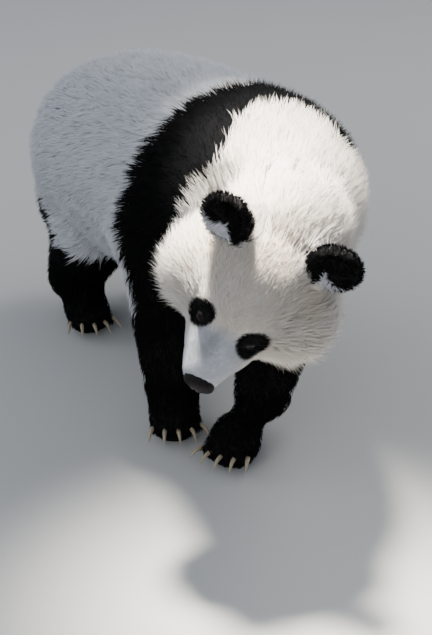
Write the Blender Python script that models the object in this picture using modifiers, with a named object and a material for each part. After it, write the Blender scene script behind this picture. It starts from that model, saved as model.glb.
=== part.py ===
"""A giant panda at life size, on all fours, its head lowered and turned to its right.

Metres, +Z up. The trunk heads along -Y, and +X is the animal's left. The solids reach to the
tips of the coat. The body is fused from masses into one form, and thin flat cuts part it into
head, neck, trunk and three lengths of each leg. Eyes, nose pad and claws sit in sockets of
their own shape, ears and tail stand on the body, and the paws rest on flats at one level.
"""

from math import cos, pi, radians, sin

import bmesh
import bpy
from mathutils import Matrix, Vector

# ---------------------------------------------------------------- driving dimensions
FUSE_VOXEL = 0.010  # grid that fuses the masses
BODY_TRIANGLES = 3700
GAP = 0.0005  # clear width of every cut
UP = Vector((0, 0, 1))

# The spine from rump to nape: place, half width, rise above it and drop below it.
SPINE = (
    ((0.006, 0.350, 0.365), 0.110, 0.118, 0.125),
    ((0.006, 0.228, 0.398), 0.218, 0.206, 0.195),
    ((0.024, 0.090, 0.418), 0.243, 0.231, 0.218),
    ((0.032, -0.060, 0.434), 0.251, 0.240, 0.226),
    ((0.016, -0.290, 0.472), 0.234, 0.242, 0.220),
    ((0.015, -0.480, 0.535), 0.202, 0.203, 0.195),
    ((-0.028, -0.640, 0.570), 0.186, 0.185, 0.180),
    ((-0.085, -0.730, 0.555), 0.162, 0.150, 0.150),
)
# Masses that fill out the trunk: places and radii.
SHOULDERS = (((-0.112, -0.330, 0.440), (0.115, 0.150, 0.165)), ((0.150, -0.360, 0.440), (0.115, 0.150, 0.165)))
THIGHS = (((-0.090, 0.190, 0.322), (0.110, 0.158, 0.162)), ((0.128, 0.200, 0.322), (0.116, 0.158, 0.162)))
BELLY = ((0.022, 0.000, 0.368), (0.208, 0.280, 0.180))
RUMP = ((0.008, 0.292, 0.350), (0.168, 0.118, 0.168))

# The skull's frame: X its left, Y the way the muzzle points, Z up, from between the eye patches.
HEAD_AT = Vector((-0.2195, -0.879, 0.457))
HEAD_YAW, HEAD_PITCH, HEAD_ROLL = radians(61), radians(37), radians(-34)
# Masses of the skull: place and radii. A place off the middle is mirrored.
HEAD_MASSES = {
    "cranium": ((0, -0.118, -0.008), (0.128, 0.125, 0.115)),
    "forehead": ((0, -0.055, 0.008), (0.095, 0.075, 0.072)),
    "cheek": ((0.090, -0.090, -0.048), (0.089, 0.098, 0.094)),
    "jowl": ((0.072, -0.150, -0.062), (0.088, 0.110, 0.088)),
    "face": ((0, -0.070, -0.042), (0.132, 0.088, 0.084)),
    "nape": ((0, -0.215, 0.012), (0.125, 0.120, 0.108)),
    "brow": ((0.042, -0.015, 0.000), (0.036, 0.036, 0.034)),
    "throat": ((0, -0.080, -0.085), (0.095, 0.115, 0.060)),
    "muzzle_root": ((0.016, 0.004, -0.036), (0.055, 0.074, 0.050)),
    "muzzle": ((0.008, 0.050, -0.044), (0.040, 0.055, 0.038)),
    "snout": ((0.010, 0.078, -0.048), (0.031, 0.033, 0.033)),
    "lip": ((0.012, 0.073, -0.062), (0.028, 0.031, 0.027)),
    "chin": ((0, 0.050, -0.081), (0.032, 0.042, 0.024)),
}
NOSE_AT, NOSE_RADII = Vector((0.005, 0.100, -0.052)), Vector((0.0285, 0.0155, 0.0225))
EYE_AT, EYE_RADIUS = Vector((0.0465, 0.0118, 0.0095)), 0.010
# The left ear is swung back and the right one forward.
EARS = {"left": Vector((0.109, -0.149, 0.106)), "right": Vector((-0.094, -0.130, 0.110))}
EAR_RADII, EAR_CUP_AT = Vector((0.054, 0.036, 0.049)), Vector((0, 0.030, 0.006))
EAR_CUP_RADII = Vector((0.037, 0.032, 0.034))
EAR_SPLAY, EAR_LEAN = radians(10), radians(24)
TAIL_AT, TAIL_RADII, TAIL_SLOPE = Vector((0.008, 0.408, 0.330)), Vector((0.038, 0.024, 0.068)), radians(12)

# Each leg: joints from shoulder or hip down to wrist or heel, with radii, then the paw's
# place on the floor and its heading, turned from -Y to the animal's right.
LEGS = {
    "fore_right": (
        (((-0.112, -0.345, 0.390), 0.100), ((-0.105, -0.345, 0.250), 0.085), ((-0.120, -0.388, 0.105), 0.065)),
        (-0.130, -0.418), radians(15)),
    "fore_left": (
        (((0.130, -0.380, 0.390), 0.102), ((0.110, -0.435, 0.245), 0.085), ((0.018, -0.528, 0.112), 0.064)),
        (-0.062, -0.572), radians(52)),
    "hind_right": (
        (((-0.084, 0.195, 0.320), 0.108), ((-0.112, 0.100, 0.235), 0.092), ((-0.107, 0.222, 0.094), 0.068)),
        (-0.112, 0.140), radians(8)),
    "hind_left": (
        (((0.130, 0.205, 0.320), 0.112), ((0.158, 0.112, 0.235), 0.092), ((0.149, 0.238, 0.094), 0.068)),
        (0.162, 0.158), radians(-14)),
}
PAW_RADII = {"fore": Vector((0.056, 0.066, 0.058)), "hind": Vector((0.055, 0.082, 0.054))}
PAW_HEIGHT = 0.043  # of the middle of the paw's mass, so that the floor cuts its sole flat
TOE_RADII = Vector((0.0145, 0.026, 0.018))
TOE_STEP = radians(19)
# A claw's curve: place, half width, rise and drop.
CLAW = (
    ((0, -0.014, 0.005), 0.0060, 0.0055, 0.0045),
    ((0, 0.010, 0.006), 0.0050, 0.0048, 0.0038),
    ((0, 0.029, -0.008), 0.0010, 0.0010, 0.0010),
)

# A leg's cut is a prism along Y: its outline in X and Z, its two ends, and how far it slides in X.
LEG_CUTS = {
    "fore_right": (((-0.079, 0.10), (-0.079, 0.270), (-0.44, 0.53), (-0.44, 0.10)), -0.62, -0.20, 0.099),
    "fore_left": (((-0.073, 0.10), (0.30, 0.10), (0.30, 0.53), (-0.073, 0.270)), -0.66, -0.20, 0.099),
    "hind_right": (((-0.010, 0.10), (-0.010, 0.165), (-0.35, 0.47), (-0.35, 0.10)), -0.02, 0.55, 0),
    "hind_left": (((0.032, 0.10), (0.38, 0.10), (0.38, 0.47), (0.032, 0.165)), -0.01, 0.55, 0),
}
ANKLE, ELBOW, KNEE = 0.125, 0.222, 0.190
NECK_CUT = Vector((0, -0.450, 0.520)), Vector((0, -1, 0.25))
HEAD_CUT = Vector((0, -0.185, 0)), Vector((0, 1, 0.12))  # in the skull's frame

COLOURS = {  # base colour and roughness
    "white": ((0.72, 0.68, 0.60), 0.85),
    "black": ((0.018, 0.017, 0.016), 0.80),
    "eye": ((0.020, 0.010, 0.006), 0.10),
    "nose": ((0.016, 0.014, 0.013), 0.45),
    "claw": ((0.46, 0.39, 0.28), 0.40),
}


# ---------------------------------------------------------------- shapes
def head_frame():
    """The skull's axes and origin as a matrix."""
    level = Vector((-sin(HEAD_YAW), -cos(HEAD_YAW), 0))
    flat_left = Vector((cos(HEAD_YAW), -sin(HEAD_YAW), 0))
    forward = level * cos(HEAD_PITCH) - UP * sin(HEAD_PITCH)
    flat_up = forward.cross(flat_left)
    left = flat_left * cos(HEAD_ROLL) + flat_up * sin(HEAD_ROLL)
    frame = Matrix((left, forward, forward.cross(left))).transposed().to_4x4()
    frame.translation = HEAD_AT
    return frame


def paw_frame(place, heading):
    """X the paw's left, Y the way its toes point, Z up, from the middle of its mass."""
    turn = Matrix.Rotation(pi - heading, 4, "Z")
    return Matrix.Translation((*place, PAW_HEIGHT)) @ turn


def toe_frames(paw, radii):
    """A frame at each of five toes, set on an arc round the front of the paw."""
    for step in range(-2, 3):
        turn = step * TOE_STEP
        reach = Vector((radii.x * 1.02 * sin(turn) * 1.35, radii.y * 0.78 * cos(turn * 1.15), -0.014))
        yield paw @ Matrix.Translation(reach) @ Matrix.Rotation(-turn * 0.55, 4, "Z")


def add_ellipsoid(bm, centre, radii, frame=Matrix(), level=3):
    place = frame @ Matrix.Translation(centre) @ Matrix.Diagonal((*radii, 1))
    bmesh.ops.create_icosphere(bm, subdivisions=level, radius=1, matrix=place)


def through(keys, steps):
    """Rows on a smooth curve through the keys, with steps to each stretch."""
    last = len(keys) - 1
    rows = []
    for i in range(last):
        a, b, c, d = (Vector(keys[max(0, min(last, k))]) for k in (i - 1, i, i + 1, i + 2))
        for s in range(steps):
            t = s / steps
            bend = (2 * a - 5 * b + 4 * c - d) * t * t + (3 * b - a - 3 * c + d) * t ** 3
            rows.append((2 * b + (c - a) * t + bend) / 2)
    rows.append(Vector(keys[last]))
    return rows


def add_tube(bm, keys, frame=Matrix(), steps=4, sides=24):
    """A closed tube of oval sections. A key is a place, a half width, a rise and a drop."""
    rows = through([(*place, *sizes) for place, *sizes in keys], steps)
    rings = []
    for i, row in enumerate(rows):
        behind, ahead = rows[max(i - 1, 0)], rows[min(i + 1, len(rows) - 1)]
        along = (Vector(ahead[:3]) - Vector(behind[:3])).normalized()
        side = along.cross(UP).normalized()
        top = side.cross(along)
        ring = []
        for k in range(sides):
            turn = 2 * pi * k / sides
            height = (row[4] if sin(turn) > 0 else row[5]) * sin(turn)
            spot = Vector(row[:3]) + side * (row[3] * cos(turn)) + top * height
            ring.append(bm.verts.new(frame @ spot))
        rings.append(ring)
    for a, b in zip(rings, rings[1:]):
        for k in range(sides):
            bm.faces.new((a[k], a[(k + 1) % sides], b[(k + 1) % sides], b[k]))
    bm.faces.new(rings[0][::-1])
    bm.faces.new(rings[-1])


def add_limb(bm, joints):
    """A chain of tapered lengths with round joints."""
    for place, radius in joints:
        add_ellipsoid(bm, place, (radius, radius, radius))
    for (a, radius_a), (b, radius_b) in zip(joints, joints[1:]):
        run = Vector(b) - Vector(a)
        place = Matrix.Translation((Vector(a) + Vector(b)) / 2) @ run.to_track_quat("Z", "Y").to_matrix().to_4x4()
        bmesh.ops.create_cone(
            bm, cap_ends=True, segments=24, radius1=radius_a, radius2=radius_b, depth=run.length, matrix=place)


def add_prism(bm, outline, start, end, slide):
    """A prism along Y with its outline in X and Z, slid in X toward its end."""
    near = [bm.verts.new((x, start, z)) for x, z in outline]
    face = bm.faces.new(near)
    made = bmesh.ops.extrude_face_region(bm, geom=[face])["geom"]
    far = [v for v in made if isinstance(v, bmesh.types.BMVert)]
    bmesh.ops.translate(bm, verts=far, vec=(slide, end - start, 0))


def grow(bm, distance):
    """Moves every face outward."""
    bmesh.ops.recalc_face_normals(bm, faces=bm.faces)
    bm.normal_update()
    moves = [v.normal * distance * v.calc_shell_factor() for v in bm.verts]
    for vertex, move in zip(bm.verts, moves):
        vertex.co += move


# ---------------------------------------------------------------- objects, cuts and joins
def clear_scene():
    for obj in list(bpy.data.objects):
        bpy.data.objects.remove(obj)


def new_object(name, bm, keep=True):
    """An object of its own; one that isn't kept is a cutter."""
    bmesh.ops.recalc_face_normals(bm, faces=bm.faces)
    mesh = bpy.data.meshes.new(name)
    bm.to_mesh(mesh)
    bm.free()
    obj = bpy.data.objects.new(name, mesh)
    bpy.data.collections["giant_panda" if keep else "cutters"].objects.link(obj)
    obj.hide_render = not keep
    obj.display_type = "TEXTURED" if keep else "WIRE"
    return obj


def mesh_of(obj):
    bm = bmesh.new()
    bm.from_mesh(obj.data)
    return bm


def apply_modifiers(obj):
    bpy.context.view_layer.update()
    graph = bpy.context.evaluated_depsgraph_get()
    made = bpy.data.meshes.new_from_object(obj.evaluated_get(graph))
    obj.modifiers.clear()
    obj.data = made


def combine(obj, cutter, operation):
    """Cuts an object with another, and takes the cutter away."""
    cut = obj.modifiers.new("cut", "BOOLEAN")
    cut.operation = operation
    cut.solver = "EXACT"
    cut.object = cutter
    apply_modifiers(obj)
    bpy.data.objects.remove(cutter)


def half(obj, name, point, normal):
    """The half of an object that lies ahead of a plane, closed by a flat face."""
    bm = mesh_of(obj)
    geom = bm.verts[:] + bm.edges[:] + bm.faces[:]
    bmesh.ops.bisect_plane(bm, geom=geom, plane_co=point, plane_no=normal, clear_inner=True)
    rim = [e for e in bm.edges if e.is_boundary]
    bmesh.ops.holes_fill(bm, edges=rim, sides=0)
    return new_object(name, bm)


def part_at(obj, name, point, normal):
    """Parts an object at a plane: what lies ahead takes a new name, the rest keeps its own."""
    normal = normal.normalized()
    ahead = half(obj, name, point + normal * GAP / 2, normal)
    rest = half(obj, "rest", point - normal * GAP / 2, -normal)
    obj.data = rest.data
    bpy.data.objects.remove(rest)
    return ahead


def fuse(obj):
    """Makes one smooth closed form of the overlapping masses."""
    remesh = obj.modifiers.new("fuse", "REMESH")
    remesh.mode = "VOXEL"
    remesh.voxel_size = FUSE_VOXEL
    soften = obj.modifiers.new("soften", "SMOOTH")
    soften.factor = 0.5
    soften.iterations = 12
    apply_modifiers(obj)
    thin = obj.modifiers.new("thin", "DECIMATE")
    thin.ratio = BODY_TRIANGLES / (2 * len(obj.data.polygons))
    apply_modifiers(obj)


# ---------------------------------------------------------------- the animal
def make_body():
    """Trunk, neck, head and legs in one form, cut flat at the floor."""
    bm = bmesh.new()
    add_tube(bm, SPINE)
    for place, radii in (*SHOULDERS, *THIGHS, BELLY, RUMP):
        add_ellipsoid(bm, place, radii)
    for place, radii in HEAD_MASSES.values():
        for side in (1, -1) if place[0] else (1,):
            add_ellipsoid(bm, (side * place[0], place[1], place[2]), radii, head_frame())
    for name, (joints, place, heading) in LEGS.items():
        radii = PAW_RADII[name[:4]]
        add_limb(bm, joints)
        add_ellipsoid(bm, (0, 0, 0), radii, paw_frame(place, heading))
        for toe in toe_frames(paw_frame(place, heading), radii):
            add_ellipsoid(bm, (0, 0, 0), TOE_RADII, toe)
    body = new_object("trunk", bm)
    fuse(body)
    standing = half(body, "standing", Vector((0, 0, 0)), UP)
    body.data = standing.data
    bpy.data.objects.remove(standing)
    return body


def make_ears(body):
    """Round, cupped, set high and wide on the skull."""
    for name, place in EARS.items():
        splay = Matrix.Rotation(-EAR_SPLAY if place.x > 0 else EAR_SPLAY, 4, "Z")
        frame = head_frame() @ Matrix.Translation(place) @ splay @ Matrix.Rotation(EAR_LEAN, 4, "X")
        bm = bmesh.new()
        add_ellipsoid(bm, (0, 0, 0), EAR_RADII, frame)
        ear = new_object("ear_" + name, bm)
        bm = bmesh.new()
        add_ellipsoid(bm, EAR_CUP_AT, EAR_CUP_RADII, frame, level=2)
        combine(ear, new_object("cup", bm, keep=False), "DIFFERENCE")
        bm = mesh_of(body)
        grow(bm, GAP)
        combine(ear, new_object("skull", bm, keep=False), "DIFFERENCE")


def make_tail(body):
    """A short flat brush that hangs against the rump."""
    bm = bmesh.new()
    frame = Matrix.Translation(TAIL_AT) @ Matrix.Rotation(TAIL_SLOPE, 4, "X")
    add_ellipsoid(bm, (0, 0, 0), TAIL_RADII, frame, level=2)
    tail = new_object("tail", bm)
    bm = mesh_of(body)
    grow(bm, GAP)
    combine(tail, new_object("rump", bm, keep=False), "DIFFERENCE")


def socket(body, obj):
    """Cuts an object's own shape into the body, a gap wider."""
    bm = mesh_of(obj)
    grow(bm, GAP)
    combine(body, new_object("socket", bm, keep=False), "DIFFERENCE")


def make_face(body):
    """Two eyes and the nose pad."""
    for side, name in ((1, "left"), (-1, "right")):
        bm = bmesh.new()
        place = Vector((side * EYE_AT.x, EYE_AT.y, EYE_AT.z))
        add_ellipsoid(bm, place, (EYE_RADIUS, EYE_RADIUS, EYE_RADIUS), head_frame(), level=2)
        socket(body, new_object("eye_" + name, bm))
    bm = bmesh.new()
    add_ellipsoid(bm, NOSE_AT, NOSE_RADII, head_frame(), level=2)
    socket(body, new_object("nose", bm))


def make_claws(body):
    """Five claws to a paw, each rooted in its toe."""
    for leg, (_, place, heading) in LEGS.items():
        paw = paw_frame(place, heading)
        for number, toe in enumerate(toe_frames(paw, PAW_RADII[leg[:4]]), 1):
            bm = bmesh.new()
            add_tube(bm, CLAW, toe @ Matrix.Translation((0, 0.016, 0)), steps=1, sides=6)
            socket(body, new_object(f"{leg}_claw_{number}", bm))


def part_body(body):
    """Parts the whole form into its named lengths."""
    paws = part_at(body, "paws", Vector((0, 0, ANKLE)), -UP)
    split_paws(paws)
    for leg, cut in LEG_CUTS.items():
        upper, lower, joint = ("arm", "forearm", ELBOW) if leg[:4] == "fore" else ("thigh", "shank", KNEE)
        limb = new_object(f"{leg}_{upper}", mesh_of(body))
        bm = bmesh.new()
        add_prism(bm, *cut)
        combine(limb, new_object("leg_cut", bm, keep=False), "INTERSECT")
        bm = bmesh.new()
        add_prism(bm, *cut)
        grow(bm, GAP)
        combine(body, new_object("leg_cut", bm, keep=False), "DIFFERENCE")
        part_at(limb, f"{leg}_{lower}", Vector((0, 0, joint)), -UP)
    frame = head_frame()
    part_at(body, "neck", *NECK_CUT)
    neck = bpy.data.objects["neck"]
    part_at(neck, "head", frame @ HEAD_CUT[0], frame.to_3x3() @ HEAD_CUT[1])


def split_paws(paws):
    """Gives each of the four paws its own object."""
    for leg, (_, place, _) in LEGS.items():
        bm = mesh_of(paws)
        start = min(bm.verts, key=lambda v: (v.co - Vector((*place, 0))).length)
        mine = {start}
        reached = [start]
        while reached:
            for edge in reached.pop().link_edges:
                for vertex in edge.verts:
                    if vertex not in mine:
                        mine.add(vertex)
                        reached.append(vertex)
        bmesh.ops.delete(bm, geom=[v for v in bm.verts if v not in mine], context="VERTS")
        new_object(f"{leg}_paw", bm)
    bpy.data.objects.remove(paws)


def colour_of(name):
    for part, key in (("claw", "claw"), ("eye", "eye"), ("nose", "nose"), ("thigh", "white"),
                      ("ear", "black"), ("fore_", "black"), ("hind_", "black")):
        if part in name:
            return key
    return "white"


def paint():
    """Gives each part its own material."""
    for obj in bpy.data.collections["giant_panda"].objects:
        colour, roughness = COLOURS[colour_of(obj.name)]
        material = bpy.data.materials.new(obj.name)
        material.use_nodes = True
        shader = material.node_tree.nodes["Principled BSDF"]
        shader.inputs["Base Color"].default_value = (*colour, 1)
        shader.inputs["Roughness"].default_value = roughness
        shader.inputs["Metallic"].default_value = 0
        obj.data.materials.clear()
        obj.data.materials.append(material)


def centre():
    """Moves the animal so that the middle of its box is above the origin."""
    animal = bpy.data.collections["giant_panda"].objects
    corners = [v.co for obj in animal for v in obj.data.vertices]
    middle = [(min(c[i] for c in corners) + max(c[i] for c in corners)) / 2 for i in (0, 1)]
    for obj in animal:
        obj.data.transform(Matrix.Translation((-middle[0], -middle[1], 0)))


def main():
    clear_scene()
    for name in ("giant_panda", "cutters"):
        collection = bpy.data.collections.new(name)
        bpy.context.scene.collection.children.link(collection)
    body = make_body()
    make_ears(body)
    make_tail(body)
    make_face(body)
    make_claws(body)
    part_body(body)
    paint()
    centre()


main()
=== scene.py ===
"""A giant panda on all fours, its head lowered and turned to its right: skin, coat, eyes, nose
and claws over the solids of the frame. Metres, +Z up; the trunk heads along -Y."""

import bmesh
import bpy
import numpy as np
from mathutils import Matrix, Vector
from mathutils.bvhtree import BVHTree
from mathutils.kdtree import KDTree


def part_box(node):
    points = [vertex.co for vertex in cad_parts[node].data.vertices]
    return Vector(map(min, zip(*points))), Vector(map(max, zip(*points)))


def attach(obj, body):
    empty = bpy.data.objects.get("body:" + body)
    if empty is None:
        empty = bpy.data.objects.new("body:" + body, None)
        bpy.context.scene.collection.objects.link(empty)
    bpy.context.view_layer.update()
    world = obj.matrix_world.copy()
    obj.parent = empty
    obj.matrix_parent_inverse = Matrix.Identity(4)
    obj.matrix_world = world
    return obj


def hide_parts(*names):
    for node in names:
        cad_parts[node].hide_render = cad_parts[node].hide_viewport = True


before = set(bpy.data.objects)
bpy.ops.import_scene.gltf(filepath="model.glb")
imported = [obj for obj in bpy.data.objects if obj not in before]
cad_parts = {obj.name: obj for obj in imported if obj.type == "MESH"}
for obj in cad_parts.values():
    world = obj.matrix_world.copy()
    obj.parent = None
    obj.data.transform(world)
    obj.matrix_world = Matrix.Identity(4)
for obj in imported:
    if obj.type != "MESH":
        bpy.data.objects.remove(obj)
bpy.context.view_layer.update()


# ---------------------------------------------------------------- floor, light and camera
# A plain pale floor under soft studio light. Key light and spot hang high behind the animal's
# head, so that nape and ruff are brightest and the lowered face is in soft shade.
class Maths:
    """One socket of a node tree, with operators that add the Math nodes."""

    def __init__(self, tree, socket):
        self.tree = tree
        self.socket = socket

    def node(self, kind, settings=None, inputs=None, output=0):
        """Adds a node, with its settings and the values or links of its sockets."""
        made = self.tree.nodes.new(kind)
        for name, value in (settings or {}).items():
            setattr(made, name, value)
        for name, value in (inputs or {}).items():
            if isinstance(value, Maths):
                self.tree.links.new(value.socket, made.inputs[name])
            else:
                made.inputs[name].default_value = value
        return Maths(self.tree, made.outputs[output])

    def sum_up(self, operation, first, second):
        return self.node("ShaderNodeMath", {"operation": operation}, {0: first, 1: second})

    def __add__(self, other):
        return self.sum_up("ADD", self, other)

    def __sub__(self, other):
        return self.sum_up("SUBTRACT", self, other)

    def __rsub__(self, other):
        return self.sum_up("SUBTRACT", other, self)

    def __mul__(self, other):
        return self.sum_up("MULTIPLY", self, other)

    __radd__ = __add__
    __rmul__ = __mul__

    def mix(self, first, second, way="MIX"):
        """Goes from one colour to another as this value goes from 0 to 1."""
        colour_a, colour_b, result = 6, 7, 2  # the colour sockets of the node
        inputs = {"Factor": self, colour_a: first, colour_b: second}
        settings = {"data_type": "RGBA", "blend_type": way}
        return self.node("ShaderNodeMix", settings, inputs, result)

    def noise(self, scale, detail, **inputs):
        """Noise that stays put on the object."""
        place = self.node("ShaderNodeTexCoord", output="Object")
        inputs = {"Vector": place, "Scale": scale, "Detail": detail, **inputs}
        return self.node("ShaderNodeTexNoise", None, inputs)


def new_material(name, **constants):
    """A Principled material with its constants, a start for its maths, and its shader."""
    material = bpy.data.materials.new(name)
    material.use_nodes = True
    tree = material.node_tree
    shader = tree.nodes["Principled BSDF"]
    for key, value in constants.items():
        shader.inputs[key.replace("_", " ")].default_value = value
    return material, Maths(tree, None), shader


def feed(value, shader, socket):
    value.tree.links.new(value.socket, shader.inputs[socket])


def new_object(name, bm, *materials):
    mesh = bpy.data.meshes.new(name)
    bm.to_mesh(mesh)
    bm.free()
    obj = bpy.data.objects.new(name, mesh)
    bpy.context.scene.collection.objects.link(obj)
    for material in materials:
        mesh.materials.append(material)
    return obj


def aim(name, data, place, target):
    """Puts a lamp or the camera at its place, turned to what it looks at."""
    obj = bpy.data.objects.new(name, data)
    obj.location = place
    obj.rotation_euler = (Vector(place) - Vector(target)).to_track_quat("Z", "Y").to_euler()
    bpy.context.scene.collection.objects.link(obj)
    return obj


FLOOR_HALF = 14
bm = bmesh.new()
bmesh.ops.create_grid(bm, x_segments=1, y_segments=1, size=FLOOR_HALF)
floor_material, _, _ = new_material("pale_floor", Base_Color=(0.62, 0.61, 0.59, 1), Roughness=0.9)
new_object("floor", bm, floor_material)

world = bpy.data.worlds.new("studio")
world.use_nodes = True
sky = world.node_tree.nodes["Background"]
sky.inputs["Color"].default_value = (0.74, 0.82, 0.95, 1)
sky.inputs["Strength"].default_value = 0.52
bpy.context.scene.world = world
LAMPS = {
    # name: (place, what it is aimed at, watts, width, colour)
    "key": ((2.4, 1.4, 3.4), (0.0, -0.2, 0.4), 50, 1.4, (1.0, 0.96, 0.90)),
    "fill": ((-3.0, -3.2, 2.6), (0.0, -0.3, 0.4), 52, 3.0, (0.94, 0.97, 1.0)),
    "rim": ((-2.5, 3.0, 2.4), (0.0, 0.2, 0.4), 26, 2.0, (0.88, 0.94, 1.0)),
}
for name, (place, target, power, size, colour) in LAMPS.items():
    lamp = bpy.data.lights.new(name, "AREA")
    lamp.energy = power
    lamp.size = size
    lamp.color = colour
    aim(name, lamp, place, target)

# A soft spot from high behind picks out nape, ruff and cheeks.
SPOT_PLACE, SPOT_AIM = (0.08, 0.36, 2.93), (-0.14, -0.615, 0.56)
spot = bpy.data.lights.new("nape_spot", "SPOT")
spot.energy = 3000
spot.spot_size = np.radians(17.5)
spot.spot_blend = 1.0
spot.shadow_soft_size = 0.26
spot.color = (1.0, 0.95, 0.89)
aim("nape_spot", spot, SPOT_PLACE, SPOT_AIM)

CAMERA_PLACE, CAMERA_AIM = (-1.3947, -3.1708, 1.796), (-0.0167, -0.1148, 0.231)
lens = bpy.data.cameras.new("camera")
lens.sensor_width = 36
lens.lens = 102.8
bpy.context.scene.camera = aim("camera", lens, CAMERA_PLACE, CAMERA_AIM)


# ---------------------------------------------------------------- eyes
# Small dark brown balls with an upright slit of a pupil, under a wet clear surface. Each sits
# in the socket of its own solid, and looks out and a little forward from its black patch.
def middle(node):
    """The middle of a solid's box."""
    low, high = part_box(node)
    return (Vector(low) + Vector(high)) / 2


# The skull's frame, from the places of eyes and nose: X its left, Y to the muzzle and Z up.
NOSE_BELOW_EYES = np.radians(34.9)
EYES_AT = Vector((0, 0.0118, 0.0095))  # the middle between the eyes, in that frame
eye_middles = {side: middle("eye_" + side) for side in ("left", "right")}
between_eyes = (eye_middles["left"] + eye_middles["right"]) / 2
head_left = (eye_middles["left"] - eye_middles["right"]).normalized()
to_nose = middle("nose") - between_eyes
to_nose = (to_nose - head_left * to_nose.dot(head_left)).normalized()
above_nose = to_nose.cross(head_left)
head_forward = to_nose * np.cos(NOSE_BELOW_EYES) + above_nose * np.sin(NOSE_BELOW_EYES)
head_up = head_forward.cross(head_left)
HEAD = Matrix((head_left, head_forward, head_up)).transposed().to_4x4()
HEAD.translation = between_eyes - HEAD.to_3x3() @ EYES_AT
HEAD_BACK = HEAD.inverted()

EYE_RADIUS = 0.010
IRIS_EDGE = 0.74  # how far forward on the ball, in radii
PUPIL_ACROSS, PUPIL_UP = 0.17, 0.34  # its half sizes, in radii
GAZE = {"left": Vector((0.60, 0.70, 0.38)).normalized(),
        "right": Vector((-0.60, 0.70, 0.38)).normalized()}

eye_rim, start, shader = new_material("eye_rim", Roughness=0.25, Specular_IOR_Level=0.10)
rim_tone = start.noise(500.0, 3.0).mix((0.003, 0.002, 0.002, 1), (0.008, 0.005, 0.004, 1))
feed(rim_tone, shader, "Base Color")
iris, start, shader = new_material("iris", Roughness=0.12, Specular_IOR_Level=0.14)
iris_tone = start.noise(900.0, 3.0).mix((0.005, 0.003, 0.002, 1), (0.016, 0.008, 0.004, 1))
feed(iris_tone, shader, "Base Color")
pupil, _, _ = new_material(
    "pupil", Base_Color=(0.002, 0.002, 0.002, 1), Roughness=0.10, Specular_IOR_Level=0.14)
eye_turns = {}
for side, gaze in GAZE.items():
    out = (HEAD.to_3x3() @ gaze).normalized()
    level = (head_left - out * head_left.dot(out)).normalized()
    eye_turns[side] = Matrix((level, out.cross(level), out)).transposed()
    bm = bmesh.new()
    bmesh.ops.create_uvsphere(bm, u_segments=56, v_segments=44, radius=EYE_RADIUS)
    for face in bm.faces:
        at = face.calc_center_median() / EYE_RADIUS
        face.smooth = True
        face.material_index = 1 if at.z > IRIS_EDGE else 0
        if (at.x / PUPIL_ACROSS) ** 2 + (at.y / PUPIL_UP) ** 2 < 1 and at.z > 0:
            face.material_index = 2
    bm.transform(Matrix.Translation(eye_middles[side]) @ eye_turns[side].to_4x4())
    eye = new_object("eyeball_" + side, bm, eye_rim, iris, pupil)
    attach(eye, "root")
    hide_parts("eye_" + side)


# ---------------------------------------------------------------- nose pad
# A bare black pad of pebbled skin over the end of the muzzle, broader than it is high, with a
# comma-shaped nostril on each side and a cleft down its middle.
NOSE_RADII = (0.0290, 0.0158, 0.0228)
BLUNTNESS = 0.22  # how far the pad's front is squared off


def pad_width(height):
    """The pad narrows toward the lip."""
    return 1.0 + 0.06 * height - 0.28 * np.maximum(0.0, -height)


bm = bmesh.new()
bmesh.ops.create_icosphere(bm, subdivisions=6, radius=1)
nostril = bm.verts.layers.float.new("nostril")
for vertex in bm.verts:
    x, y, z = vertex.co
    blunt = abs(y) ** -BLUNTNESS if y > 0.02 else 1.0
    side = abs(x)
    # The round of the nostril, its slit to the side, the cleft and the swelling above.
    hollow = np.exp(-(((side - 0.48) / 0.15) ** 2 + ((z + 0.10 + 0.7 * (side - 0.48)) / 0.19) ** 2))
    slit = np.exp(-(((z + 0.16 - 0.30 * (side - 0.6)) / 0.07) ** 2))
    slit *= np.exp(-(((side - 0.76) / 0.18) ** 2))
    cleft = np.exp(-((x / 0.07) ** 2)) * (0.5 - 0.5 * np.tanh(6 * (z + 0.05)))
    swell = 0.10 * np.exp(-(((side - 0.50) / 0.30) ** 2 + ((z - 0.18) / 0.25) ** 2))
    depth = 1.0 + (swell - 0.60 * hollow - 0.30 * slit - 0.22 * cleft) * max(0.0, y)
    vertex.co = (x * pad_width(z) * NOSE_RADII[0], y * blunt * depth * NOSE_RADII[1],
                 z * NOSE_RADII[2])
    # Where the nostrils are, for the painted shade in their hollows.
    vertex[nostril] = min(1.0, 1.3 * (hollow + slit)) * (y > 0)
for face in bm.faces:
    face.smooth = True
turn = HEAD.copy()
turn.translation = middle("nose")
bm.transform(turn)
bmesh.ops.recalc_face_normals(bm, faces=bm.faces)
nose_skin, start, shader = new_material("nose_skin", Roughness=0.50, Specular_IOR_Level=0.12)
# The nostrils' hollows are painted near-black over the pad's own tone: painted shade.
nostril_shade = start.node("ShaderNodeAttribute", {"attribute_name": "nostril"}, output="Fac")
place = start.node("ShaderNodeTexCoord", output="Object")
pebbles = start.node("ShaderNodeTexVoronoi", {"feature": "SMOOTH_F1"},
                     {"Vector": place, "Scale": 560.0, "Smoothness": 0.5})
pad_tone = pebbles.mix((0.012, 0.010, 0.010, 1), (0.005, 0.0045, 0.0045, 1))
feed(nostril_shade.mix(pad_tone, (0.0015, 0.0012, 0.0012, 1)), shader, "Base Color")
grain = {"Strength": 0.7, "Distance": 0.0007, "Height": 1 - pebbles}
feed(start.node("ShaderNodeBump", None, grain), shader, "Normal")
nose = new_object("nose_pad", bm, nose_skin)
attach(nose, "root")
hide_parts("nose")


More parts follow.
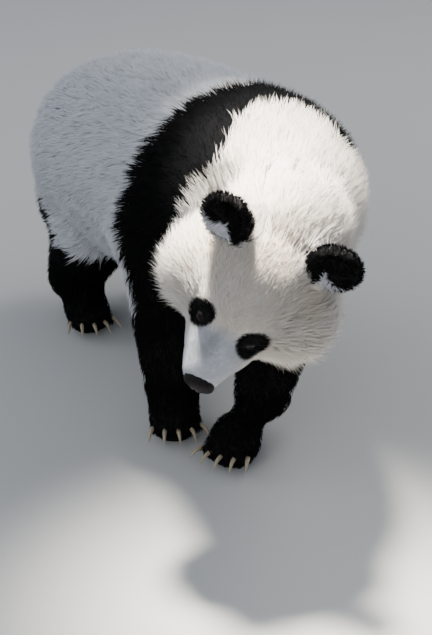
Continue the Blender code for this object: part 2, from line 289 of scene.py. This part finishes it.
# ---------------------------------------------------------------- claws
# Five curved claws to a paw, of pale horn streaked with brown, as long as the last toe joint.
# They are the solids of the frame, rounded, and rooted in the toes.
horn, start, shader = new_material("claw_horn", Roughness=0.38, Coat_Weight=0.2, Coat_Roughness=0.3)
growth = start.noise(240.0, 4.0, Roughness=0.6)
feed(growth.mix((0.22, 0.16, 0.10, 1), (0.55, 0.46, 0.33, 1)), shader, "Base Color")
WELD = 0.00002  # points of a solid nearer than this are one
for leg in ("fore_left", "fore_right", "hind_left", "hind_right"):
    names = [f"{leg}_claw_{number}" for number in range(1, 6)]
    bm = bmesh.new()
    for name in names:
        bm.from_mesh(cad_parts[name].data)
    bmesh.ops.remove_doubles(bm, verts=bm.verts, dist=WELD)
    for face in bm.faces:
        face.smooth = True
    claws = new_object(leg + "_claws", bm, horn)
    rounded = claws.modifiers.new("rounded", "SUBSURF")
    rounded.levels = rounded.render_levels = 2
    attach(claws, "root")
    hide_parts(*names)


# ---------------------------------------------------------------- hide
# One closed hide over the whole body, under the coat by the coat's depth. It is fused from
# the flesh solids, drawn in, and worked into lids, lips and the corners of the mouth.
HIDE_VOXEL = 0.0078
BARE = ("eye", "nose")
FLESH = [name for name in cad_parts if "claw" not in name and not name.startswith(BARE)]


def soft(low, high, value):
    """0 below low, 1 above high, and smooth between."""
    t = np.clip((value - low) / (high - low), 0, 1)
    return t * t * (3 - 2 * t)


def bump(value, centre, width):
    """1 at the centre, and fading smoothly to both sides over the width."""
    return np.exp(-(((value - centre) / width) ** 2))


def unit(vectors):
    """Each vector at a length of 1."""
    return vectors / np.maximum(np.linalg.norm(vectors, axis=1, keepdims=True), 1e-9)


def blend(first, second, share):
    return first * (1 - share) + second * share


def in_head(spots):
    """Spots in the skull's own frame."""
    back = np.array(HEAD_BACK)
    return spots @ back[:3, :3].T + back[:3, 3]


def away_from_eyes(spots):
    """How far each spot is from the middle of the nearer eye."""
    middles = [np.array(eye) for eye in eye_middles.values()]
    return np.min([np.linalg.norm(spots - eye, axis=1) for eye in middles], axis=0)


def noise_of(spots, size, seed):
    """A smooth random value from -1 to 1 at each spot, on a lattice of the given size."""
    cells = 32
    lattice = np.random.default_rng(seed).uniform(-1, 1, (cells, cells, cells))
    scaled = spots / size
    cell = np.floor(scaled).astype(int)
    t = scaled - cell
    t = t * t * (3 - 2 * t)
    total = np.zeros(len(spots))
    for corner in range(8):
        step = np.array([(corner >> k) & 1 for k in range(3)])
        weight = np.prod(np.where(step, t, 1 - t), axis=1)
        total += weight * lattice[tuple(((cell + step) % cells).T)]
    return total


bm = bmesh.new()
for name in FLESH + ["eye_left", "eye_right", "nose"]:
    bm.from_mesh(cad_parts[name].data)
bmesh.ops.remove_doubles(bm, verts=bm.verts, dist=WELD)
hide = new_object("hide", bm)
fused = hide.modifiers.new("fused", "REMESH")
fused.mode = "VOXEL"
fused.voxel_size = HIDE_VOXEL
eased = hide.modifiers.new("eased", "SMOOTH")
eased.iterations = 5
graph = bpy.context.evaluated_depsgraph_get()
mesh = bpy.data.meshes.new_from_object(hide.evaluated_get(graph))
hide.modifiers.clear()
hide.data = mesh

# Finer faces round the eyes, the nose and the mouth, in three rounds: how far from an eye, how
# far back along the snout and how high on it. The last round takes in the eyes alone.
SNOUT_HALF = 0.055
bm = bmesh.new()
bm.from_mesh(mesh)
for eye_reach, snout_back, snout_top in (
        (0.045, 0.010, 0.010), (0.026, 0.040, -0.055), (0.0165, 0.300, 0.010)):
    points = np.array([v.co for v in bm.verts])
    aside, fore, rise = in_head(points).T
    near = (fore > snout_back) & (np.abs(aside) < SNOUT_HALF) & (rise < snout_top)
    near |= away_from_eyes(points) < eye_reach
    bm.verts.ensure_lookup_table()
    edges = [e for e in bm.edges if near[e.verts[0].index] and near[e.verts[1].index]]
    bmesh.ops.subdivide_edges(bm, edges=edges, cuts=1, use_grid_fill=True, smooth=0.5)
    bm.verts.index_update()
bmesh.ops.triangulate(bm, faces=bm.faces)
bm.to_mesh(mesh)
bm.free()

count = len(mesh.vertices)
points = np.empty(count * 3)
mesh.vertices.foreach_get("co", points)
points = points.reshape(-1, 3)
ends = np.empty(len(mesh.edges) * 2, dtype=np.int64)
mesh.edges.foreach_get("vertices", ends)
ends = ends.reshape(-1, 2)
degree = np.bincount(ends.ravel(), minlength=count).astype(float)
corners = np.empty(len(mesh.polygons) * 3, dtype=np.int64)
mesh.loops.foreach_get("vertex_index", corners)
corners = corners.reshape(-1, 3)


def blurred(values, rounds):
    """Values of the hide's points, shared with their neighbours' over so many rounds."""
    values = np.asarray(values, float)
    flat = values.reshape(count, -1)
    for _ in range(rounds):
        total = np.stack([
            np.bincount(ends[:, 0], flat[ends[:, 1], k], count)
            + np.bincount(ends[:, 1], flat[ends[:, 0], k], count)
            for k in range(flat.shape[1])], axis=1)
        flat = 0.5 * flat + 0.5 * total / np.maximum(degree, 1)[:, None]
    return flat.reshape(values.shape)


def point_normals():
    """The outward direction at each point of the hide."""
    a, b, c = (points[corners[:, k]] for k in range(3))
    face = np.cross(b - a, c - a)
    return unit(np.stack([
        sum(np.bincount(corners[:, k], face[:, axis], count) for k in range(3))
        for axis in range(3)], axis=1))


# Which solid each point of the hide belongs to.
solid_points = []
solid_faces = []
solid_of_face = []
for index, name in enumerate(FLESH):
    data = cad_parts[name].data
    first = len(solid_points)
    solid_points.extend(v.co.copy() for v in data.vertices)
    solid_faces.extend(tuple(first + k for k in face.vertices) for face in data.polygons)
    solid_of_face.extend([index] * len(data.polygons))
solids = BVHTree.FromPolygons(solid_points, solid_faces)
nearest = np.array([solid_of_face[solids.find_nearest(Vector(p))[2]] for p in points])


def of_parts(*words):
    """1 on the points of every solid whose name holds one of the words."""
    chosen = [i for i, name in enumerate(FLESH) if any(word in name for word in words)]
    return np.isin(nearest, chosen).astype(float)


normals = point_normals()
local = in_head(points)
y, z = points.T[1:]
side, fore, rise = local.T
on_head = of_parts("head")
on_ear = of_parts("ear")
on_leg = of_parts("arm", "shank", "paw")
on_paw = of_parts("paw")
on_neck = of_parts("neck")
eyes_away = away_from_eyes(points)

# The hair of each part: how long it is, how deep the coat lies and how wide a tuft is, in
# metres, and how many tufts stand on a square metre.
HAIR = {
    "body": (0.044, 0.020, 0.0030, 43000),
    "neck": (0.048, 0.025, 0.0023, 76000),
    "face": (0.0160, 0.0070, 0.0012, 190000),
    "cheek": (0.043, 0.022, 0.0020, 76000),
    "crown": (0.035, 0.017, 0.0020, 80000),
    "muzzle": (0.0070, 0.0014, 0.0009, 380000),
    "leg": (0.036, 0.014, 0.0034, 33000),
    "ear": (0.015, 0.006, 0.0019, 85000),
    "paw": (0.0150, 0.005, 0.0024, 56000),
    "patch": (0.0090, 0.0024, 0.0012, 260000),
    "lids": (0.0042, 0.0010, 0.0008, 420000),
}
EASE = 8  # rounds over which one part's hair passes into the next part's
outer = np.abs(side)
muzzle = on_head * soft(0.008, 0.038, fore) * (1 - soft(0.040, 0.075, outer))
muzzle = muzzle * (1 - soft(0.016, 0.034, rise))
cheek = on_head * soft(0.060, 0.105, outer) * (1 - soft(0.06, 0.11, rise)) * (1 - muzzle)
crown = on_head * (1 - soft(-0.17, -0.07, fore))
low_down = on_paw * (1 - soft(0.045, 0.11, z))
patch_round = 1 - soft(0.030, 0.046, eyes_away)
lids_round = 1 - soft(0.013, 0.022, eyes_away)
hair = np.tile(HAIR["body"], (count, 1))
for name, share in (
        ("neck", on_neck), ("face", on_head), ("cheek", cheek), ("crown", crown * (1 - cheek)),
        ("muzzle", muzzle), ("leg", on_leg), ("ear", on_ear), ("paw", low_down),
        ("patch", patch_round), ("lids", lids_round)):
    hair = blend(hair, np.array(HAIR[name]), share[:, None])
length, depth, width, density = blurred(hair, EASE).T

# How far the tips of each part may stand out of its outline, first on the trunk.
stray = np.full(count, 0.008)
for reach, share in (
        (0.012, on_neck), (0.0045, on_head), (0.018, cheek), (0.012, crown), (0.0015, muzzle),
        (0.006, on_leg), (0.004, on_ear), (0.003, on_paw), (0.002, patch_round)):
    stray = blend(stray, reach, share)
stray = blurred(stray, EASE)
sole = on_paw * (1 - soft(0.002, 0.010, z))
depth = depth * (1 - sole)

# The lie of the coat: away from the nose over face and neck, back and down along the trunk,
# down the legs and forward over the paws, and out from the root of each ear.
nose_tip = np.array(HEAD @ Vector((0, 0.12, -0.035)))
across = normals[:, 0]
backward = unit(np.stack([0.25 * across, np.ones(count), -0.30 - 0.40 * np.abs(across)], axis=1))
from_nose = np.maximum(on_head, on_neck * (1 - soft(-0.36, -0.18, y)))
lie = blend(backward, unit(points - nose_tip), from_nose[:, None])
lie = blend(lie, np.array((0.0, 0.18, -1.0)), on_leg[:, None])
lie = blend(lie, np.array((-0.35, -1.0, -0.35)), low_down[:, None])
lie = blend(lie, np.array((0, 0.3, -1.0)), of_parts("tail")[:, None])
# White hair of the brow grows up into the front of each ear, in a notch: how far out from the
# ear's middle it starts, and how fast it closes to both sides.
EARS = (("ear_left", 1, 0.0110, 1.05), ("ear_right", -1, 0.0090, 0.60))
EAR_ROOT = Vector((0, -0.01, -0.055))  # from the ear's middle, in the skull's frame
NOTCH_ASIDE, NOTCH_TOP = -0.0135, 0.028
notches = np.zeros(count)
for name, sign, notch_floor, notch_slope in EARS:
    ear_middle = np.array(middle(name))
    ear_root = ear_middle + np.array(HEAD.to_3x3() @ EAR_ROOT)
    mine = of_parts(name)
    lie = blend(lie, unit(points - ear_root), mine[:, None])
    aside, ahead, above = (local - in_head(ear_middle[None])[0]).T
    outward = ahead * 0.90 + aside * sign * 0.44
    astray = aside * sign * 0.90 - ahead * 0.44
    notch = outward > notch_floor + notch_slope * np.abs(astray - NOTCH_ASIDE)
    notches = np.maximum(notches, mine * notch * (above < NOTCH_TOP))
lie = blurred(unit(lie), 7)

# The markings. The band crosses the shoulders and takes in chest and forelegs.
wave_y = y + 0.006 * noise_of(points, 0.030, 31) + 0.003 * noise_of(points, 0.011, 32)
wave_z = z + 0.008 * noise_of(points, 0.034, 33) + 0.004 * noise_of(points, 0.012, 34)
front_edge = np.interp(z, (0.25, 0.40, 0.50, 0.60, 0.66, 0.70, 0.75),
                       (-0.308, -0.328, -0.348, -0.372, -0.404, -0.403, -0.316))
rear_edge = np.interp(z, (0.30, 0.45, 0.66, 0.71, 0.75), (-0.062, -0.065, -0.092, -0.106, -0.148))
band = soft(-0.004, 0.004, wave_y - front_edge) * (1 - soft(-0.004, 0.004, wave_y - rear_edge))
band = band * of_parts("trunk", "neck", "arm")
forelegs = of_parts("fore") * (1 - soft(0.24, 0.26, wave_z))
hind_top = 0.215 + 0.60 * np.clip(y - 0.32, 0, 0.14)  # it rises toward the rump
hind_legs = of_parts("thigh") * (wave_z < hind_top)
hind_legs = np.maximum(hind_legs, of_parts("shank", "hind_left_paw", "hind_right_paw"))
hind_legs = np.maximum(hind_legs, of_parts("trunk") * (wave_z < 0.235) * (y > 0.33))
PATCH_MIDDLES = ((0.0555, 0.0125, 0.0065), (-0.0545, 0.0073, 0.0115))
PATCH_REACH = ((0.0322, 0.0318), (0.0372, 0.0268))  # half its length and half its width
PATCH_LEAN, PATCH_DROP = 0.507, 0.862  # outward and down, the way it hangs


def in_patches(spots):
    """1 inside the black patch round each eye, an egg that hangs down and outward."""
    local = in_head(spots)
    share = np.zeros(len(spots))
    for centre, (long, wide) in zip(PATCH_MIDDLES, PATCH_REACH):
        away = local - np.array(centre)
        hang = np.array((PATCH_LEAN * np.sign(centre[0]), 0.0, -PATCH_DROP))
        down = away @ hang
        rest = np.sqrt(np.maximum(np.sum(away**2, axis=1) - down * down, 0))
        share = np.maximum(share, 1 - soft(0.94, 1.06, np.hypot(down / long, rest / wide)))
    return share


body_black = np.clip(band + forelegs + hind_legs + on_ear * (1 - notches), 0, 1)
black = np.clip(body_black + in_patches(points) * on_head, 0, 1)

# Draw the hide in by the coat's depth.
points = points - normals * depth[:, None]
points = blurred(points, 1)
points[:, 2] = np.maximum(points[:, 2], 0.0)
points[sole > 0.5, 2] = 0.0

# Lids: a rolled rim round an almond opening, with the hide tucked in behind it.
LID_WIDE, LID_HIGH, LID_ROLL = 0.0080, 0.0054, 0.0015
LID_REACH = 0.026
NO_LID = 9.0


def lid_ring(spots):
    """Below 1 over the opening between the lids, 1 at their edge and more round them."""
    rings = np.full(len(spots), NO_LID)
    for name, eye_middle in eye_middles.items():
        away = spots - np.array(eye_middle)
        seen = unit(away) @ np.array(eye_turns[name])
        aside = seen[:, 0] * EYE_RADIUS / LID_WIDE
        high = LID_HIGH * (1 - 0.35 * np.minimum(aside**2, 1))
        ring = np.hypot(aside, seen[:, 1] * EYE_RADIUS / high)
        around = (np.linalg.norm(away, axis=1) < LID_REACH) & (seen[:, 2] > 0.05)
        rings = np.where(around, np.minimum(rings, ring), rings)
    return rings


opening = lid_ring(points)
for name, eye_middle in eye_middles.items():
    away = points - np.array(eye_middle)
    distance = np.linalg.norm(away, axis=1)
    facing = soft(0.08, 0.42, unit(away) @ np.array(eye_turns[name])[:, 2])
    rim = EYE_RADIUS - 0.0026 * (1 - soft(0.84, 1.02, opening))
    rim = rim + LID_ROLL * soft(0.92, 1.20, opening)
    # A crease and a fold run round the rolled rim.
    rim = rim + 0.0004 * bump(opening, 1.75, 0.12) - 0.0006 * bump(opening, 1.50, 0.10)
    hold = facing * (1 - soft(0.0135, 0.022, distance)) * (1 - soft(1.4, 2.4, opening))
    points = points + away * (hold * (rim / np.maximum(distance, 1e-6) - 1))[:, None]

# Behind the nose pad the hide is hollow, so that the nostrils have room.
PAD_HOLLOW, PAD_DRAW = 0.014, 0.14
local = in_head(points)
to_pad = local - in_head(np.array(middle("nose"))[None])[0]
across_pad, along_pad, up_pad = (to_pad / np.array(NOSE_RADII)).T
from_middle = np.hypot(across_pad / pad_width(np.clip(up_pad, -1, 1)), up_pad)
under_pad = np.hypot(from_middle, along_pad)
sunk = (1 - soft(0.72, 0.90, from_middle)) * soft(-0.006, 0.000, to_pad[:, 1]) * on_head
points = points - np.array(HEAD.to_3x3() @ Vector((0, 1, 0))) * (PAD_HOLLOW * sunk)[:, None]
within = (1 - soft(0.94, 1.00, under_pad)) * (1 - sunk)
points = blend(points, np.array(middle("nose")), PAD_DRAW * within[:, None])

# The mouth: a groove from under the nose pad back along each side of the muzzle.
GROOVE_DEPTH = 0.0040
side, fore, rise = in_head(points).T
line = -0.0835 + 0.09 * np.clip(0.085 - fore, 0, 1)
groove = bump(rise, line, 0.0028) * soft(0.012, 0.026, fore) * on_head
philtrum = bump(side, 0.004, 0.0018) * bump(rise, -0.079, 0.0050) * (fore > 0.07) * on_head
lips = np.maximum(groove, philtrum)
normals = point_normals()
points = points - normals * (GROOVE_DEPTH * lips)[:, None]
mesh.vertices.foreach_set("co", points.ravel())
mesh.update()
normals = point_normals()

# Colours of the hide and of the hair that stands on it, from root to tip.
HEAD_ROOT, HEAD_TIP = np.array((0.80, 0.71, 0.61)), np.array((0.95, 0.90, 0.83))
# The trunk's hair is greyer and bluer than the head's: partly its own duller white, partly painted
# shade.
SHADED_TRUNK_ROOT, SHADED_TRUNK_TIP = np.array((0.69, 0.69, 0.70)), np.array((0.80, 0.83, 0.88))
# The muzzle's hair is painted greyer and bluer than the face's: painted shade over its own white.
SHADED_MUZZLE_TONE, MUZZLE_GREY_TONE = np.array((0.63, 0.65, 0.695)), np.array((0.30, 0.30, 0.33))
TAN_TONE = np.array((0.82, 0.64, 0.44))
BLACK_HIDE, BARE_SKIN = np.array((0.004, 0.0035, 0.0035)), np.array((0.014, 0.010, 0.010))
BLACK_ROOT, BLACK_TIP = np.array((0.0028, 0.0026, 0.0028)), np.array((0.0040, 0.0042, 0.0047))
snout = blurred(muzzle, 5)[:, None]
creamy = blurred(np.maximum(on_head, on_neck), 20)[:, None]
tan = 0.60 * bump(side, 0.01, 0.060) * bump(fore, -0.125, 0.055) * on_head + 0.06 * on_neck
under_ears = 0.55 * bump(np.abs(side), 0.095, 0.032) * bump(fore, -0.090, 0.030) * on_head
tan = blurred(np.maximum(tan, under_ears), 12)[:, None]
# A darker grey patch on the upper muzzle, a little to the skull's right of its middle.
muzzle_grey_patch = 0.70 * bump(side, -0.012, 0.014) * bump(fore, 0.050, 0.024) * on_head * (rise > -0.03)
muzzle_grey_patch = muzzle_grey_patch[:, None]
root_tone = blend(blend(SHADED_TRUNK_ROOT, HEAD_ROOT, creamy), TAN_TONE * 0.9, tan)
tip_tone = blend(blend(SHADED_TRUNK_TIP, HEAD_TIP, creamy), TAN_TONE, tan * 0.8)
root_tone = blend(blend(root_tone, SHADED_MUZZLE_TONE, snout), MUZZLE_GREY_TONE, muzzle_grey_patch)
tip_tone = blend(blend(tip_tone, SHADED_MUZZLE_TONE * 1.06, snout), MUZZLE_GREY_TONE, muzzle_grey_patch)


def keep_tones(data, name, tones):
    """Gives a mesh a colour at each of its points."""
    colours = np.hstack((tones, np.ones((len(tones), 1)))).astype(np.float32)
    data.attributes.new(name, "FLOAT_COLOR", "POINT").data.foreach_set("color", colours.ravel())


bare = np.maximum(lips, 1 - soft(0.90, 0.97, under_pad))[:, None]
haired_tone = blend(root_tone, BLACK_HIDE, black[:, None])
keep_tones(mesh, "hide_tone", blend(haired_tone, BARE_SKIN, bare))
mesh.polygons.foreach_set("use_smooth", np.ones(len(mesh.polygons), bool))

hide_skin, start, shader = new_material(
    "hide_and_underfur", Roughness=0.85, Specular_IOR_Level=0.25)
base = start.node("ShaderNodeAttribute", {"attribute_name": "hide_tone"})
patchy, strands = start.noise(60.0, 4.0), start.noise(1100.0, 2.0)
worn = (patchy * 0.5 + strands * 0.25).mix(base, (0.72, 0.70, 0.67, 1), "MULTIPLY")
feed(worn, shader, "Base Color")
ridges = {"Strength": 0.5, "Distance": 0.001, "Height": strands}
feed(start.node("ShaderNodeBump", None, ridges), shader, "Normal")
mesh.materials.clear()
mesh.materials.append(hide_skin)
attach(hide, "root")
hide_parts(*FLESH)


# ---------------------------------------------------------------- coat
# Tufts of hair over the whole hide, thin three-sided blades that taper to a point, with a
# shorter undercoat between them. They overlap, lie along the body and gather into locks.
UV_NAME = "OFBake"
PATCH = 0.003  # a tuft's patch on the hide's unwrap
MOST_FACES, FEWEST_TUFTS = 195000, 40  # in one piece of the coat
random = np.random.default_rng(20)

bpy.context.view_layer.objects.active = hide
hide.select_set(True)
bpy.ops.object.mode_set(mode="EDIT")
bpy.ops.mesh.select_all(action="SELECT")
bpy.ops.uv.smart_project(angle_limit=1.15, island_margin=0.002)
bpy.ops.object.mode_set(mode="OBJECT")
mesh = hide.data
mesh.uv_layers[0].name = UV_NAME
mesh.loops.foreach_get("vertex_index", corners.reshape(-1))
unwrap = np.empty(len(mesh.loops) * 2)
mesh.uv_layers[0].data.foreach_get("uv", unwrap)
unwrap = unwrap.reshape(-1, 3, 2)
a, b, c = (points[corners[:, k]] for k in range(3))
face_middles = (a + b + c) / 3
areas = np.linalg.norm(np.cross(b - a, c - a), axis=1) / 2

fur = {}
for name, roughness, shine in (("white", 0.75, 0.14), ("black", 0.85, 0.06)):
    fur[name], start, shader = new_material(
        name + "_fur", Roughness=roughness, Specular_IOR_Level=shine)
    base = start.node("ShaderNodeAttribute", {"attribute_name": "fur_tone"})
    streaks = start.noise(1400.0, 2.0) * 0.35
    feed(streaks.mix(base, (0.78, 0.76, 0.73, 1), "MULTIPLY"), shader, "Base Color")

PARTS = {
    "ears": of_parts("ear"), "head": of_parts("head"), "neck": on_neck,
    "forelegs": of_parts("fore"), "hindquarters": of_parts("hind", "tail"),
    "trunk": of_parts("trunk"),
}
shares_of_parts = np.stack([values[corners].sum(axis=1) for values in PARTS.values()])
part_of_face = np.argmax(shares_of_parts, axis=0)

# The locks: the spots that the tufts around them lean toward, each with a bend of its own.
LOCKS, LOCK_BEND = 4200, 0.16
guides = KDTree(LOCKS)
guide_spots = face_middles[random.choice(len(areas), LOCKS, p=areas / areas.sum())]
for index, spot in enumerate(guide_spots):
    guides.insert(spot, index)
guides.balance()
guide_bend = random.normal(0, LOCK_BEND, (LOCKS, 3))

# The faces of a tuft, over rings of three points at root and knee and one point at the tip. The
# undercoat's has no knee.
BLADE = np.array(((0, 1, 4), (0, 4, 3), (1, 2, 5), (1, 5, 4), (2, 0, 3), (2, 3, 5),
                  (3, 4, 6), (4, 5, 6), (5, 3, 6), (0, 2, 1)))
SPIKE = np.array(((0, 1, 3), (1, 2, 3), (2, 0, 3), (0, 2, 1)))
RING = (90, 210, 330)
RING_DEPTH = 0.7  # of a ring's width
# Each kind of tuft: how many there are, and how long, wide and lifted they are, beside the
# part's own hair, and a tuft's faces.
KINDS = {"coat": (0.89, 1.0, 1.0, 1.0, BLADE), "undercoat": (0.58, 0.60, 1.35, 0.85, SPIKE)}
LEAST_LIFT, MOST_LIFT = 0.05, 0.72
KNEE_SHARE, TIP_SHARE, KNEE_WIDTH = 0.45, 0.55, 0.74
LOCK_PULL, LOCK_AHEAD = 0.24, 0.004
LIE_WAVE, LIE_STRAY = 0.30, 0.09
ROOT_SUNK, FLOOR_GAP = 0.0012, 0.0008
BRIGHTEST = 0.96


def at_roots(values, faces, shares):
    """The hide's values at the roots, from the corners of the faces that they stand on."""
    return np.einsum("ij,ij...->i...", shares, values[corners[faces]])


def within_outline(spots, room):
    """Pulls spots in that stand farther out of the coat's outline than they have room."""
    for index in range(len(spots)):
        place, out, _, away = solids.find_nearest(Vector(spots[index]))
        if away > room[index] and out.dot(Vector(spots[index]) - place) > 0:
            spots[index] -= np.array(out) * (away - room[index])


def coat_piece(name, colour, pattern, blades, patches, tones, shade):
    """Makes one piece of the coat, from its tufts' points, unwrap, colours and normals."""
    tufts, each = blades.shape[:2]
    tris = (pattern[None] + each * np.arange(tufts)[:, None, None]).reshape(-1, 3)
    data = bpy.data.meshes.new(name)
    data.vertices.add(tufts * each)
    data.vertices.foreach_set("co", blades.ravel())
    data.loops.add(tris.size)
    data.loops.foreach_set("vertex_index", tris.ravel())
    data.polygons.add(len(tris))
    data.polygons.foreach_set("loop_start", np.arange(0, tris.size, 3))
    data.update(calc_edges=True)
    data.polygons.foreach_set("use_smooth", np.ones(len(tris), bool))
    uv = patches.reshape(-1, 2)[tris.ravel()]
    data.uv_layers.new(name=UV_NAME).data.foreach_set("uv", uv.ravel())
    keep_tones(data, "fur_tone", np.clip(tones.reshape(-1, 3), 0, BRIGHTEST))
    data.normals_split_custom_set_from_vertices(shade.reshape(-1, 3))
    coat = bpy.data.objects.new(name, data)
    bpy.context.scene.collection.objects.link(coat)
    data.materials.append(fur[colour])
    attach(coat, "root")


def build_coat(kind, amount, longer, wider, steeper, pattern):
    """Sows one kind of tuft over the hide, and makes a piece or more for each part and colour."""
    # Where the tufts stand, and what the hide says there.
    thinned = 1.0
    weight = areas * density[corners].mean(axis=1) * amount * thinned
    number = int(weight.sum())
    faces = random.choice(len(areas), number, p=weight / weight.sum())
    shares = random.dirichlet((1, 1, 1), number)
    root = at_roots(points, faces, shares)
    normal = unit(at_roots(normals, faces, shares))
    long = at_roots(length, faces, shares) * random.uniform(0.72, 1.10, number) * longer
    deep = at_roots(depth, faces, shares)
    direction = at_roots(lie, faces, shares)
    lock = np.array([guides.find(Vector(p))[1] for p in root])
    direction += LIE_WAVE * np.stack([noise_of(root, 0.040, seed) for seed in (1, 2, 3)], axis=1)
    direction += guide_bend[lock] + random.normal(0, LIE_STRAY, (number, 3))
    direction = unit(direction - normal * np.sum(direction * normal, axis=1, keepdims=True))
    wide = at_roots(width, faces, shares) * random.uniform(0.70, 1.15, number) * wider
    on_brow = at_roots(on_head, faces, shares) > 0.5
    body_dark = at_roots(body_black, faces, shares) > random.uniform(0.35, 0.65, number)

    # Each rises from its root to a knee, and lies flatter from there to its tip.
    slope = np.clip(deep * 1.05 / (long / longer), LEAST_LIFT, MOST_LIFT)
    lift = np.arcsin(slope) * steeper * random.uniform(0.65, 1.45, number)
    loose = at_roots(stray, faces, shares)
    steep, flat = lift * 1.40, lift * (0.55 + 40 * loose)
    upward = direction * np.cos(steep)[:, None] + normal * np.sin(steep)[:, None]
    onward = direction * np.cos(flat)[:, None] + normal * np.sin(flat)[:, None]
    knee = root + upward * (long * KNEE_SHARE)[:, None]
    tip = knee + onward * (long * TIP_SHARE)[:, None]

    # Tips lean toward the middle of their lock.
    lean = guide_spots[lock] + direction * LOCK_AHEAD - root
    lean -= normal * np.sum(lean * normal, axis=1, keepdims=True)
    pull = np.minimum(1.0, LOCK_PULL * long / np.maximum(np.linalg.norm(lean, axis=1), 1e-6))
    pull = pull * random.uniform(0.3, 0.75, number)
    tip += lean * pull[:, None]
    knee += lean * (pull * 0.35)[:, None]

    # No hair stands far out of the coat's own outline, however the body curves away under it.
    for spots, spare in ((knee, 0.35 * loose), (tip, loose)):
        within_outline(spots, random.uniform(-0.6, 1.0, number) * spare)

    # The rings of points round each tuft, and the normals they are shaded by.
    root = root - normal * ROOT_SUNK
    sideways = unit(np.cross(normal, direction))
    jointed = len(pattern) == len(BLADE)
    rings = ((root, 1.0), (knee, KNEE_WIDTH)) if jointed else ((root, 1.0),)
    spots, shade = [], []
    for place, share in rings:
        for turn in np.radians(RING):
            offset = sideways * np.cos(turn) + normal * (RING_DEPTH * np.sin(turn))
            spots.append(place + offset * (wide * share / 2)[:, None])
            shade.append(unit(normal * 1.0 + offset * 0.55 + direction * 0.25))
    spots.append(tip)
    shade.append(unit(normal + direction * 0.45))
    blades, shade = np.stack(spots, axis=1), np.stack(shade, axis=1)

    # A tuft at the edge of an eye patch changes colour where it crosses the edge.
    straying = random.normal(0, 0.0015, (number, 3))
    dark = np.stack([in_patches(spot + straying) * on_brow for spot in spots], axis=1)
    dark = np.maximum(dark, body_dark[:, None])
    is_black = dark.mean(axis=1) > 0.5
    blades[:, :, 2] = np.maximum(blades[:, :, 2], FLOOR_GAP)
    along = np.array((0, 0, 0, 0.55, 0.55, 0.55, 1.0) if jointed else (0, 0, 0, 0.8))
    vary = 1 + 0.08 * noise_of(root, 0.018, 9) + random.normal(0, 0.06, number)
    root_pale, tip_pale = (at_roots(tone, faces, shares) for tone in (root_tone, tip_tone))
    pale = blend(root_pale[:, None], tip_pale[:, None], along[None, :, None])
    black_tone = blend(BLACK_ROOT, BLACK_TIP, along[:, None])[None]
    tone = blend(pale, black_tone, dark[:, :, None]) * vary[:, None, None]

    # Its patch lies at its root's place on the hide's unwrap.
    root_uv = np.einsum("ij,ijk->ik", shares, unwrap[faces])
    spread = np.stack((np.tile((0, 0.5, 1), 3)[:len(along)], along), axis=1)
    spread[-1] = (0.5, along[-1])
    patches = root_uv[:, None, :] + (spread * PATCH - PATCH / 2)[None]

    # Soles, the openings between the lids, lips and nose pad stay bare.
    keep = (at_roots(sole, faces, shares) < 0.3) & (at_roots(opening, faces, shares) > 1.04)
    keep &= (lid_ring(tip) > 1.0) & (lid_ring(knee) > 1.0)
    keep &= (at_roots(lips, faces, shares) < 0.20) & (at_roots(under_pad, faces, shares) > 0.95)
    for colour in fur:
        for index, part in enumerate(PARTS):
            mine = keep & (is_black == (colour == "black")) & (part_of_face[faces] == index)
            chosen = np.flatnonzero(mine)
            if len(chosen) < FEWEST_TUFTS:
                continue
            in_order = np.argsort(root[chosen] @ np.array((0.4, 1.0, 0.1)), kind="stable")
            pieces = int(np.ceil(len(chosen) * len(pattern) / MOST_FACES))
            for order, of_piece in enumerate(np.array_split(chosen[in_order], pieces)):
                name = f"{kind}_{colour}_{part}" + (f"_{order + 1}" if pieces > 1 else "")
                coat_piece(name, colour, pattern, blades[of_piece], patches[of_piece],
                           tone[of_piece], shade[of_piece])


for kind, settings in KINDS.items():
    build_coat(kind, *settings)
